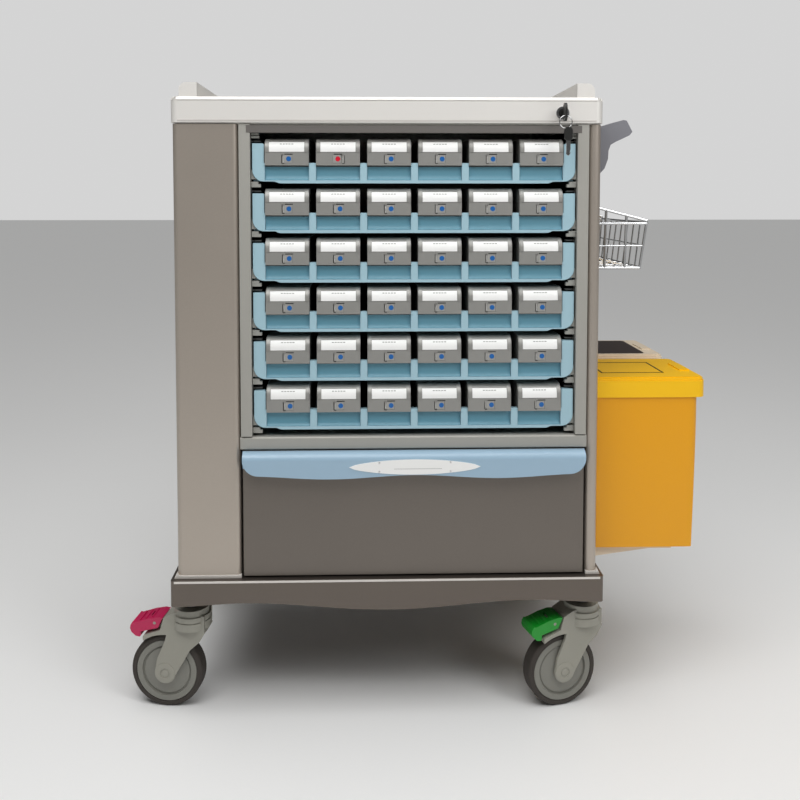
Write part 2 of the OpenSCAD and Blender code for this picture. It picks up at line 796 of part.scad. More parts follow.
// Basket with a level floor, leaning sides and a rim that slopes down away from the wall.
module wire_basket() color("Silver") at_cabinet()
    translate([side_x + rod_r + 1.5, 0, basket_z]) {
        out = basket_out - 2 * rod_r - 1.5;
        y0 = -basket_l / 2 + 10;
        y1 = basket_l / 2 + 10;
        low = basket_taper;
        gaps = 8;
        for (y = [y0 + 25, y1 - 25]) {
            span([-rod_r - 1.5, y - 10, basket_wall_h - 24], [-rod_r + 1.5, y + 10, basket_wall_h + 10]);
            span([-rod_r, y - 6, basket_wall_h - 5], [14, y + 6, basket_wall_h]);
        }
        for (k = [0, 1, 2]) {
            lean = low * (2 - k) / 2;
            z = basket_h * 0.94 * k / 2;
            r = k == 1 ? wire_r : rod_r;
            wire([0, y0 + lean, z], [0, y1 - lean, z], r);
            wire([out - lean, y0 + lean, z], [out - lean, y1 - lean, z], r);
            for (y = [y0 + lean, y1 - lean]) wire([0, y, z], [out - lean, y, z], r);
        }
        wire([0, y0, basket_wall_h], [0, y1, basket_wall_h], rod_r);
        for (y = [y0, y1]) {
            tip = y < 0 ? 1 : -1;
            wire([0, y, basket_wall_h], [out, y, basket_h], rod_r);
            wire([0, y + tip * low, 0], [0, y, basket_wall_h], rod_r);
            wire([out - low, y + tip * low, 0], [out, y, basket_h], rod_r);
            for (k = [1, 2]) {
                x = out * k / 3;
                wire([x, y + tip * low, 0], [x, y, basket_wall_h + (basket_h - basket_wall_h) * k / 3], rod_r);
            }
        }
        for (i = [1:gaps - 1]) {
            y = y0 + (y1 - y0) * i / gaps;
            wire([0, y, 0], [0, y, basket_wall_h], wire_r);
            wire([out - low, y, 0], [out, y, basket_h * 0.94], wire_r);
            wire([0, y, 0], [out - low, y, 0], wire_r);
        }
        for (k = [1, 2]) wire([out * k / 3, y0 + low, 0], [out * k / 3, y1 - low, 0], wire_r);
    }

module bin_shelf() color("Linen") at_cabinet() {
    y0 = bin_y0 + 12;
    y1 = bin_y0 + bin_pitch + bin_w - 12;
    span([side_x, y0, bin_z - shelf_t], [side_x + 150, y1, bin_z]);
    span([side_x, y0, bin_z], [side_x + 1.6, y1, bin_z + 60]);
    for (y = [y0, y1 - 4]) {
        along_y(y, y + 4) polygon([[side_x, bin_z - shelf_t], [side_x + 110, bin_z - shelf_t],
            [side_x, base_top + 1]]);
    }
}

// Box with rounded upright corners whose outer wall leans in towards its floor.
module bin_shape(lo, hi, taper, r) {
    intersection() {
        round_slab(lo, hi, r);
        along_y(lo[1] - 1, hi[1] + 1) polygon([[lo[0] - 1, lo[2]], [hi[0] - taper, lo[2]],
            [hi[0], hi[2]], [lo[0] - 1, hi[2]]]);
    }
}

module bin(k) at_cabinet() {
    y0 = bin_y0 + k * bin_pitch;
    y1 = y0 + bin_w;
    x1 = bin_x0 + bin_d;
    t = bin_wall;
    difference() {
        bin_shape([bin_x0, y0, bin_z], [x1, y1, bin_top], bin_taper, bin_r);
        bin_shape([bin_x0 + t, y0 + t, bin_z + t], [x1 - t, y1 - t, bin_top + t], bin_taper, bin_r - t);
    }
}

module bin_lid(k) at_cabinet() {
    y0 = bin_y0 + k * bin_pitch - lid_y_over;
    x0 = bin_x0;
    x1 = bin_x0 + bin_d + lid_over;
    y1 = y0 + bin_w + 2 * lid_y_over;
    z0 = bin_top + slide_clear;
    z1 = bin_top + lid_h;
    difference() {
        union() {
            round_slab([x0, y0, z0], [x1, y1, z1 - 6], bin_r);
            round_slab([x0 + 2, y0 + 2, z1 - 6], [x1 - 2, y1 - 2, z1 - 2], bin_r - 2);
            round_slab([x0 + 5, y0 + 5, z1 - 2], [x1 - 5, y1 - 5, z1], bin_r - 5);
        }
        round_slab([x0 + 3, y0 + 3, z0 - 1], [x1 - 3, y1 - 3, z1 - 5], bin_r - 3);
    }
    catch_w = 60;
    mid = (y0 + y1) / 2;
    span([x1 - 26, mid - catch_w / 2, z1], [x1 - 8, mid + catch_w / 2, z1 + 2]);
}

module sharps_bin() color("Gold") bin(0);
module sharps_lid() color("Gold") bin_lid(0);
module waste_bin() color("Wheat") bin(1);
module waste_lid() color("Wheat") bin_lid(1);

// ---- casters ----

// Places its children at caster i, turned, with the wheel trailing towards -X.
module at_caster(i) {
    at_cabinet() translate([caster_px(i), caster_py(i), 0]) rotate([0, 0, caster_turn[i]]) children();
}

// Crown over the wheel, seen from the side: its nose reaches out under the pedal.
module crown_side() {
    nose = crown_end - 33;
    difference() {
        polygon([[head_r - 4, head_z], [head_r - 4, head_top - 10], [-20, head_top - 6], [-28, head_top - 8],
            [crown_end + 2, head_top - 16], [crown_end - 4, head_top - 37.5], [nose, head_top - 47.5],
            [nose - 1.5, head_top - 50], [nose, head_top - 66], [-20, head_z - 14]]);
        translate([-trail, wheel_r]) circle(wheel_r + tyre_gap);
    }
}

// Arm beside the wheel, from the crown down to the axle's boss.
module arm_side() {
    top = head_z + 2;
    h = top - wheel_r;
    translate([-trail, wheel_r]) {
        circle(boss_r);
        polygon([[-boss_r, 0], [-13.5, h * 0.31], [-5, h * 0.55], [0, h * 0.7], [3, h * 0.84], [10, h],
            [trail + 26, h], [trail + 29, h * 0.92], [trail + 19, h * 0.71], [trail + 3, h * 0.53],
            [trail - 6, h * 0.33], [trail - 15, h * 0.14], [boss_r - 0.5, -4]]);
    }
}

module fork(i) color("Silver") at_caster(i) {
    wide = 2 * (arm_y + arm_t);
    difference() {
        union() {
            translate([0, 0, head_z]) cylinder(h = 13, r = head_r);
            translate([0, 0, head_z + 13]) cylinder(h = 2, r = head_r - 1.5);
            translate([0, 0, head_z + 15]) cylinder(h = 8, r = head_r);
            translate([0, 0, head_z + 23]) cylinder(h = head_top - head_z - 23, r = head_r - 3);
            along_y(-wide / 2, wide / 2) crown_side();
            for (y = [-wide / 2, arm_y]) along_y(y, y + arm_t) arm_side();
            if (i < 2) {
                along_y(-tongue_w / 2, tongue_w / 2) {
                    translate([pedal_x, pedal_z]) circle(tongue_r);
                    polygon([[pedal_x, pedal_z + tongue_r], [crown_end + 1, pedal_z + tongue_r],
                        [crown_end + 1, pedal_z - 16], [pedal_x - 6, pedal_z - 20],
                        [pedal_x - tongue_r, pedal_z]]);
                }
            }
        }
        translate([0, 0, head_z + 9]) cylinder(h = 60, r = stem_r + run_clear);
    }
    translate([-trail, 0, wheel_r]) rotate([90, 0, 0]) cylinder(h = 2 * arm_y + 1, r = axle_r, center = true);
    if (i < 2) {
        translate([pedal_x, 0, pedal_z]) rotate([90, 0, 0]) cylinder(h = pedal_w, r = pin_r, center = true);
    }
}

// Pedal whose two cheeks straddle the crown's tongue and whose end wraps round the nose.
module pedal(i) at_caster(i) {
    edge = crown_end;
    difference() {
        along_y(-pedal_w / 2, pedal_w / 2)
            polygon([[edge, head_top - 17], [edge - 8, head_top - 16], [edge - 26, head_top - 19.5],
                [edge - 44, head_top - 25.5], [edge - 50, head_top - 27], [edge - 53, head_top - 26.5],
                [edge - 56, head_top - 31], [edge - 57, head_top - 37], [edge - 55, head_top - 43],
                [edge - 47, head_top - 50], [edge - 40, head_top - 51], [edge - 38, head_top - 48],
                [edge - 38.5, head_top - 42], [edge - 8, head_top - 34]]);
        translate([pedal_x, 0, pedal_z]) rotate([90, 0, 0])
            cylinder(h = 2 * pedal_w, r = pin_r + run_clear, center = true);
        span([pedal_x - tongue_r - 3, -tongue_w / 2 - tongue_gap, 0],
            [edge + 1, tongue_w / 2 + tongue_gap, pedal_z + tongue_r + 1]);
    }
}

module brake_pedal() color("MediumVioletRed") pedal(0);
module lock_pedal() color("Green") pedal(1);

module at_axle(i) {
    at_caster(i) translate([-trail, 0, wheel_r]) rotate([90, 0, 0]) children();
}

// Hub and rim, turned from one section: a domed cover on each face inside a flat ring.
module wheel(i) color("DarkGray") at_axle(i) {
    rim = wheel_r - tyre_t;
    half = wheel_w / 2;
    groove = rim - 11;
    rotate_extrude() polygon([
        [axle_r + run_clear, -half], [14, -half], [20, -half + 1], [groove - 3, -half + 3.5],
        [groove - 1, -half + 5], [groove + 0.5, -half + 5], [groove + 1, -half + 1.5],
        [rim - 1, -half + 1.5], [rim, -half + 3], [rim, half - 3], [rim - 1, half - 1.5],
        [groove + 1, half - 1.5], [groove + 0.5, half - 5], [groove - 1, half - 5],
        [groove - 3, half - 3.5], [20, half - 1], [14, half], [axle_r + run_clear, half]]);
}

module tyre(i) color("DimGray") at_axle(i) {
    rim = wheel_r - tyre_t;
    half = wheel_w / 2;
    r = 5;
    rotate_extrude() difference() {
        union() {
            translate([rim, -half + 1]) square([tyre_t - r, wheel_w - 2]);
            translate([rim, -half + 1 + r]) square([tyre_t, wheel_w - 2 - 2 * r]);
            for (z = [-half + 1 + r, half - 1 - r]) translate([wheel_r - r, z]) circle(r);
        }
        translate([0, -half]) square([rim, wheel_w]);
    }
}

top_cover();
guard_rail();
left_post();
right_post();
rear_posts();
wall_panels();
bay_frame();
divider_shelf();
base_skirt();
base_deck();
caster_stems();
tray_runners();
drawer_rails();
push_handle();
wire_basket();
bin_shelf();
lock_barrel();
key();
key_ring();
tray(0);  // tray_1
tray(1);  // tray_2
tray(2);  // tray_3
tray(3);  // tray_4
tray(4);  // tray_5
tray(5);  // tray_6
cassettes(0);  // cassettes_1
cassettes(1);  // cassettes_2
cassettes(2);  // cassettes_3
cassettes(3);  // cassettes_4
cassettes(4);  // cassettes_5
cassettes(5);  // cassettes_6
slides(0);  // slides_1
slides(1);  // slides_2
slides(2);  // slides_3
slides(3);  // slides_4
slides(4);  // slides_5
slides(5);  // slides_6
slide_used();
drawer_box();
drawer_front();
drawer_pull();
label_card();
sharps_bin();
sharps_lid();
waste_bin();
waste_lid();
fork(0);  // fork_1
fork(1);  // fork_2
fork(2);  // fork_3
fork(3);  // fork_4
wheel(0);  // wheel_1
wheel(1);  // wheel_2
wheel(2);  // wheel_3
wheel(3);  // wheel_4
tyre(0);  // tyre_1
tyre(1);  // tyre_2
tyre(2);  // tyre_3
tyre(3);  // tyre_4
brake_pedal();
lock_pedal();
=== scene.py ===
# %% [markdown]
# # A hospital medication trolley
# The simulated parts come in as a frame of named pieces. The lesson dresses that frame: every piece gets
# the finish of its real material, and the small trim that needs no joint is built here and rides along.

# %% Load the frame
import json
import math
import bpy
import bmesh
from mathutils import Matrix, Vector


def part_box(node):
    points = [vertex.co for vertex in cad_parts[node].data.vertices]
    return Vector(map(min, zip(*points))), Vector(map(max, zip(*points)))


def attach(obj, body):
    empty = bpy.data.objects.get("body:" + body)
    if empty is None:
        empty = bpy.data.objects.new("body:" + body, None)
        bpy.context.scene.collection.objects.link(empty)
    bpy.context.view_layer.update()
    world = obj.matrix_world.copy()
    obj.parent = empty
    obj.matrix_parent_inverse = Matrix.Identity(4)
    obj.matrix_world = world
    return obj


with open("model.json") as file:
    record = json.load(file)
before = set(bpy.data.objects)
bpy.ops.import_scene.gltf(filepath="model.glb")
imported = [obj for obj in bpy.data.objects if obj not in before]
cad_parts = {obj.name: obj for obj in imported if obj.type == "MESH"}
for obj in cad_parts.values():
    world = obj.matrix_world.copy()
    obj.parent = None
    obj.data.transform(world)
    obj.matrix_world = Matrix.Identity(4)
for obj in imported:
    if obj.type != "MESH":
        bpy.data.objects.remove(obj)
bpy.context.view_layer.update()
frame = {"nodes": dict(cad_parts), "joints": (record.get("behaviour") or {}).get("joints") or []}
MM = 0.001
scene = bpy.context.scene
print("pieces in the frame:", len(frame["nodes"]))

# %% [markdown]
# ## Where things are
# Each place below is read from the box of a piece in the frame, so the trim follows if the frame changes.

# %% Reference planes
top_lo, top_hi = [Vector(v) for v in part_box("top_cover")]
mid_x = (top_lo.x + top_hi.x) / 2
mid_y = (top_lo.y + top_hi.y) / 2
ROWS = range(1, 7)
print("cabinet middle", round(mid_x, 4), round(mid_y, 4), "worktop", round(top_hi.z, 4))

# %% [markdown]
# ## Finishes
# A finish is a principled shader with colour, roughness and how metallic it is, plus a fine bump whose
# scale is the size of the real texture. Colours are written as sRGB hex and pass through one function.

# %% Colour and node helpers
def linear(code):
    """sRGB hex to linear RGBA."""
    out = []
    for i in (0, 2, 4):
        c = int(code[i:i + 2], 16) / 255
        out.append(c / 12.92 if c <= 0.04045 else ((c + 0.055) / 1.055) ** 2.4)
    return (*out, 1.0)


def add_node(tree, kind, settings=None, inputs=None, links=None):
    """Adds a node, sets its properties and input values, and links {input: (node, output)}."""
    node = tree.nodes.new(kind)
    for key, value in (settings or {}).items():
        setattr(node, key, value)
    for key, value in (inputs or {}).items():
        node.inputs[key].default_value = value
    for key, (source, output) in (links or {}).items():
        tree.links.new(source.outputs[output], node.inputs[key])
    return node


def finish(name, colour, roughness, metallic=0.0, ior=1.46, grain_mm=0.0, grain=0.0, fleck=0.0,
           coat=0.0, mottle=0.0):
    """A material. grain_mm is the size of its texture, grain the bump's depth in mm, fleck the
    variation of brightness from grain to grain, mottle the slow variation from place to place."""
    mat = bpy.data.materials.new(name)
    mat.use_nodes = True
    tree = mat.node_tree
    shader = tree.nodes["Principled BSDF"]
    shader.inputs["Base Color"].default_value = linear(colour)
    shader.inputs["Roughness"].default_value = roughness
    shader.inputs["Metallic"].default_value = metallic
    shader.inputs["IOR"].default_value = ior
    if coat:
        shader.inputs["Coat Weight"].default_value = coat
        shader.inputs["Coat Roughness"].default_value = 0.12
    mat.diffuse_color = linear(colour)
    place = add_node(tree, "ShaderNodeTexCoord")
    if grain_mm:
        noise = add_node(tree, "ShaderNodeTexNoise", None, {"Scale": 1 / (grain_mm * MM), "Detail": 3.0},
                         {"Vector": (place, "Object")})
        bump = add_node(tree, "ShaderNodeBump", None, {"Distance": grain * MM, "Strength": 0.6},
                        {"Height": (noise, "Fac")})
        tree.links.new(bump.outputs["Normal"], shader.inputs["Normal"])
        if fleck:
            ramp = add_node(tree, "ShaderNodeMapRange", None,
                            {"From Min": 0.3, "From Max": 0.7, "To Min": 1 - fleck, "To Max": 1 + fleck},
                            {"Value": (noise, "Fac")})
            tint = add_node(tree, "ShaderNodeVectorMath", {"operation": "SCALE"},
                            {0: linear(colour)[:3]}, {"Scale": (ramp, "Result")})
            tree.links.new(tint.outputs["Vector"], shader.inputs["Base Color"])
    if mottle:
        wear = add_node(tree, "ShaderNodeTexNoise", None, {"Scale": 9.0, "Detail": 4.0},
                        {"Vector": (place, "Object")})
        spread = add_node(tree, "ShaderNodeMapRange", None,
                          {"To Min": max(roughness - mottle, 0.02), "To Max": roughness + mottle},
                          {"Value": (wear, "Fac")})
        tree.links.new(spread.outputs["Result"], shader.inputs["Roughness"])
    return mat


print("helpers ready")

# %% [markdown]
# ## The palette
# The cabinet is sprayed with a silver paint whose aluminium flakes are a fraction of a millimetre wide.
# The worktop and trays are moulded ABS; cassettes, forks and handle are matte mouldings with a fine
# spark-eroded grain. The bins are glossy polypropylene.

# %% Palette
M = {
    "top": finish("abs_silver_worktop", "EAE7E2", 0.34, 0.2, 1.52, 0.5, 0.01, 0.03, mottle=0.05),
    "silver": finish("silver_paint", "B5ABA0", 0.36, 0.6, 1.5, 0.35, 0.008, 0.10, coat=0.15, mottle=0.04),
    # A darker copy of the silver paint for the base: painted shade, as the light falls off towards the
    # floor.
    "base": finish("silver_paint_painted_shade_low", "6E665F", 0.36, 0.8, 1.5, 0.4, 0.01, 0.10, mottle=0.05),
    # A lighter copy of the silver paint: painted highlight along the edges of the worktop, posts and base.
    "edge": finish("silver_paint_painted_highlight", "DAD5CF", 0.34, 0.4, 1.5, 0.35, 0.005, 0.04),
    "drawer": finish("graphite_silver_paint", "777069", 0.42, 0.6, 1.5, 0.35, 0.008, 0.12, mottle=0.04),
    "frame": finish("powder_coat_grey", "A9A7A0", 0.5, 0.2, 1.5, 0.8, 0.02, 0.04),
    "header": finish("powder_coat_dark_grey", "6A6662", 0.55, 0.1, 1.5, 0.8, 0.02, 0.04),
    # Matt black for the tray runners, and painted shade in the thin strips round each latch recess.
    "inside": finish("matt_black_runner_and_painted_shade", "0B0B0C", 0.8, 0.0, 1.45, 1.0, 0.02, 0.05),
    "steel": finish("galvanised_steel", "A6A8AA", 0.38, 1.0, 2.5, 3.0, 0.01, 0.12, mottle=0.08),
    "wire": finish("stainless_wire", "C9CACB", 0.22, 1.0, 2.5, 0.6, 0.004, 0.03),
    "chrome": finish("chrome_plate", "D8D8D8", 0.08, 1.0, 2.9, mottle=0.03),
    "black": finish("black_key_plastic", "1C1C1A", 0.38, 0.0, 1.49, 0.4, 0.01),
    "runner": finish("grey_nylon_runner", "9C9C96", 0.5, 0.0, 1.53, 0.6, 0.02, 0.03),
    "runner_dark": finish("dark_grey_nylon_runner", "4A4A48", 0.5, 0.0, 1.53, 0.6, 0.02, 0.03),
    # A darker copy of the tray's blue: painted shade in the recesses of each tray's front.
    "tray_recess_shade": finish("light_blue_abs_painted_recess_shade", "6297AA", 0.42, 0.0, 1.52, 0.6, 0.012, 0.02),
    "tray": finish("light_blue_abs", "A3C4D0", 0.36, 0.0, 1.52, 0.6, 0.012, 0.02, mottle=0.05),
    "cassette": finish("grey_cassette_plastic", "979692", 0.42, 0.3, 1.5, 0.4, 0.012, 0.04, mottle=0.04),
    "slide": finish("grey_latch_plastic", "9F9E9A", 0.42, 0.1, 1.5, 0.4, 0.01, 0.03),
    "pale": finish("pale_grey_plastic", "D5D4D0", 0.42, 0.0, 1.5, 0.4, 0.01),
    "blue": finish("printed_blue_dot", "1560A8", 0.35, 0.0, 1.5, 0.5, 0.004),
    "red": finish("printed_red_dot", "D01030", 0.35, 0.0, 1.5, 0.5, 0.004),
    "card": finish("white_label_card", "F4F4F2", 0.55, 0.0, 1.45, 0.3, 0.01, 0.01),
    "ink": finish("grey_printed_rule", "8C8C8A", 0.6, 0.0, 1.45, 0.3, 0.004),
    "pull": finish("lavender_blue_abs", "9DB9CD", 0.32, 0.0, 1.52, 0.6, 0.01, 0.02, mottle=0.04),
    "handle": finish("dark_grey_handle_plastic", "7C7C82", 0.48, 0.0, 1.5, 0.8, 0.04, 0.05),
    "yellow": finish("yellow_polypropylene", "EDA400", 0.32, 0.0, 1.49, 1.2, 0.015, 0.03, mottle=0.06),
    "lid_yellow": finish("yellow_polypropylene_lid", "FFC600", 0.3, 0.0, 1.49, 1.2, 0.015, 0.02,
                         mottle=0.05),
    "cream": finish("cream_polypropylene", "F0DFC6", 0.36, 0.0, 1.49, 1.2, 0.015, 0.02, mottle=0.05),
    "brown": finish("dark_brown_panel", "332622", 0.4, 0.0, 1.49, 1.2, 0.02, 0.04),
    "fork": finish("light_grey_nylon_fork", "9B998E", 0.44, 0.0, 1.53, 0.7, 0.02, 0.04, mottle=0.05),
    "rim": finish("grey_nylon_rim", "83827A", 0.42, 0.0, 1.53, 0.7, 0.02, 0.04),
    "tyre": finish("grey_brown_rubber", "3A342F", 0.72, 0.0, 1.52, 0.8, 0.04, 0.08, mottle=0.08),
    "brake": finish("magenta_nylon", "C01352", 0.34, 0.0, 1.53, 0.6, 0.015, 0.02),
    "green": finish("green_nylon", "0E9426", 0.34, 0.0, 1.53, 0.6, 0.015, 0.02),
    "floor": finish("pale_studio_floor", "F2F2F1", 0.6, 0.0, 1.45, 4.0, 0.02, 0.005),
}
print("finishes:", len(M))

# %% [markdown]
# ## Dressing the frame
# Each piece takes its finish, smooth shading and a narrow bevel. A moulded or folded edge is never sharp;
# the bevel is what catches a line of light along it.

# %% Dress the frame
LOOK = {
    "top_cover": ("top", 1.2), "guard_rail": ("top", 1.0), "left_post": ("silver", 0.6),
    "right_post": ("silver", 0.6), "rear_posts": ("silver", 0.6), "wall_panels": ("silver", 0),
    # The base skirt and deck take the darker copy of the silver paint, as painted shade.
    "bay_frame": ("frame", 0.8), "divider_shelf": ("frame", 0), "base_skirt": ("base", 1.2),
    "base_deck": ("base", 0.8), "caster_stems": ("steel", 0.5), "tray_runners": ("inside", 0.4),
    "drawer_rails": ("steel", 0.3), "push_handle": ("handle", 2.5), "wire_basket": ("wire", 0),
    "bin_shelf": ("cream", 0.8), "lock_barrel": ("wire", 0.4), "key": ("black", 0.8),
    "key_ring": ("chrome", 0), "slide_used": ("slide", 0.5), "drawer_box": ("steel", 0.3),
    "drawer_front": ("drawer", 0.8), "drawer_pull": ("pull", 1.2), "label_card": ("card", 0),
    "sharps_bin": ("yellow", 0.8), "sharps_lid": ("lid_yellow", 1.0), "waste_bin": ("cream", 0.8),
    "waste_lid": ("cream", 1.0), "brake_pedal": ("brake", 1.5), "lock_pedal": ("green", 1.5),
}
for k in ROWS:
    LOOK[f"tray_{k}"] = ("tray", 0.9)
    LOOK[f"cassettes_{k}"] = ("cassette", 0.7)
    LOOK[f"slides_{k}"] = ("slide", 0.5)
for k in range(1, 5):
    LOOK[f"fork_{k}"] = ("fork", 1.4)
    LOOK[f"wheel_{k}"] = ("rim", 0.3)
    LOOK[f"tyre_{k}"] = ("tyre", 0)


CREASE = math.radians(40)


def soften(obj, width_mm):
    """Narrow bevel on edges sharper than the crease angle, with smooth shading in between."""
    for face in obj.data.polygons:
        face.use_smooth = True
    if width_mm:
        bevel = obj.modifiers.new("edge", "BEVEL")
        bevel.width = width_mm * MM
        bevel.segments = 2
        bevel.limit_method = "ANGLE"
        bevel.angle_limit = CREASE
        bevel.use_clamp_overlap = True
        bevel.harden_normals = True
    else:
        split = obj.modifiers.new("crease", "EDGE_SPLIT")
        split.split_angle = CREASE


for name, (look, width) in LOOK.items():
    obj = frame["nodes"][name]
    obj.data.materials.clear()
    obj.data.materials.append(M[look])
    soften(obj, width)
print("dressed", len(LOOK), "of", len(frame["nodes"]))

# %% [markdown]
# ## Building trim
# Trim is made in mesh code. A solid is an outline pushed along one axis, or a section turned about one;
# many small solids are gathered into one mesh, because they are one moulding or ride on one body.

# %% Trim helpers
class Trim:
    """Gathers solids, each with a material, into one object."""

    def __init__(self, name):
        self.name, self.mesh, self.looks = name, bmesh.new(), []

    def _look(self, look):
        if look not in self.looks:
            self.looks.append(look)
        return self.looks.index(look)

    def prism(self, look, outline, lo, hi, axis="y"):
        """Outline in the two other axes, pushed from lo to hi along axis."""
        order = {"x": lambda u, v, w: (w, u, v), "y": lambda u, v, w: (u, w, v),
                 "z": lambda u, v, w: (u, v, w)}[axis]
        rings = [[self.mesh.verts.new(order(u, v, w)) for u, v in outline] for w in (lo, hi)]
        n = len(outline)
        faces = [self.mesh.faces.new(rings[0]), self.mesh.faces.new(rings[1][::-1])]
        for i in range(n):
            j = (i + 1) % n
            faces.append(self.mesh.faces.new((rings[0][i], rings[1][i], rings[1][j], rings[0][j])))
        for face in faces:
            face.material_index = self._look(look)

    def block(self, look, lo, hi):
        outline = [(lo[0], lo[2]), (hi[0], lo[2]), (hi[0], hi[2]), (lo[0], hi[2])]
        self.prism(look, outline, lo[1], hi[1])

    def turned(self, look, section, centre, axis, steps=40):
        """Section of (radius, height) turned about the axis through centre."""
        turn = Vector((0, 0, 1)).rotation_difference(Vector(axis)).to_matrix().to_4x4()
        place = Matrix.Translation(centre) @ turn
        rings = []
        for i in range(steps):
            a = 2 * math.pi * i / steps
            rings.append([self.mesh.verts.new(place @ Vector((r * math.cos(a), r * math.sin(a), h)))
                          for r, h in section])
        for i in range(steps):
            one, two = rings[i], rings[(i + 1) % steps]
            for k in range(len(section) - 1):
                face = self.mesh.faces.new((one[k], two[k], two[k + 1], one[k + 1]))
                face.material_index = self._look(look)
                face.smooth = True

    def done(self, body, slot=None, width_mm=0.4):
        """Makes the object, dresses it and lets it ride on a body."""
        bmesh.ops.remove_doubles(self.mesh, verts=self.mesh.verts, dist=1e-7)
        bmesh.ops.recalc_face_normals(self.mesh, faces=self.mesh.faces)
        data = bpy.data.meshes.new(self.name)
        self.mesh.to_mesh(data)
        self.mesh.free()
        obj = bpy.data.objects.new(self.name, data)
        scene.collection.objects.link(obj)
        for look in self.looks:
            data.materials.append(M[look])
        soften(obj, width_mm)
        if body:
            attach(obj, body)
        return obj


def arc_points(cx, cy, r, start, end, steps=10):
    return [(cx + r * math.cos(math.radians(start + (end - start) * i / steps)),
             cy + r * math.sin(math.radians(start + (end - start) * i / steps))) for i in range(steps + 1)]


def rounded(lo_u, lo_v, hi_u, hi_v, r, steps=6):
    """Outline of a rectangle with rounded corners."""
    corners = ((hi_u - r, hi_v - r), (lo_u + r, hi_v - r), (lo_u + r, lo_v + r), (hi_u - r, lo_v + r))
    outline = []
    for i, (u, v) in enumerate(corners):
        outline += arc_points(u, v, r, 90 * i, 90 * (i + 1), steps)
    return outline


print("trim helpers ready")

# %% [markdown]
# ## Cassettes
# Each lid has a window for a paper label on its rounded shoulder, between two raised cheeks. Below it a
# recess holds the status slide; a pale bar shows beside the slide, and a dot is printed on it.

# %% Cassette sizes
COLS = 6
CASSETTE_W = 70.87 * MM
SHOULDER = 18 * MM
LABEL_HALF, LABEL_DROP, LABEL_END = 28.5 * MM, 3.7 * MM, 42
CHEEK_IN, CHEEK_OUT = 28.6 * MM, 34.2 * MM
SLIDE_OFFSET, SLIDE_HALF_TRAVEL = 1.5 * MM, 1.75 * MM
SLIDE_DROP = 33.0 * MM
BAR_OFFSET, BAR_HALF_W, BAR_HALF_H = 7.1 * MM, 1.4 * MM, 6.6 * MM
DASH_START, DASH_PITCH, DASH_W, DASHES = -11 * MM, 4.6 * MM, 3.4 * MM, 5
DOT_R, DOT_T = 4.0 * MM, 0.25 * MM
USED_ROW, USED_COL = 6, 1


def shoulder(front, top, offset, lo_deg, hi_deg, drop=0.0, steps=9):
    """Side view of the shoulder's skin, offset outwards: a short straight piece, then the arc."""
    cy, cz, r = front + SHOULDER, top - SHOULDER, SHOULDER + offset
    pts = [(front - offset, cz - drop)] if drop else []
    return pts + [(cy - r * math.cos(math.radians(a)), cz + r * math.sin(math.radians(a)))
                  for a in [lo_deg + (hi_deg - lo_deg) * i / steps for i in range(steps + 1)]]


def skin(front, top, outer_mm, inner_mm, *span):
    """Outline of a thin layer on the shoulder, between two offsets from it in mm."""
    outer, inner = [shoulder(front, top, offset * MM, *span) for offset in (outer_mm, inner_mm)]
    return outer + inner[::-1]


print("a row holds", COLS, "cassettes of", CASSETTE_W / MM, "mm")

# %% [markdown]
# The latch recess is drawn by three thin black strips of painted shade, above, beside and below it.

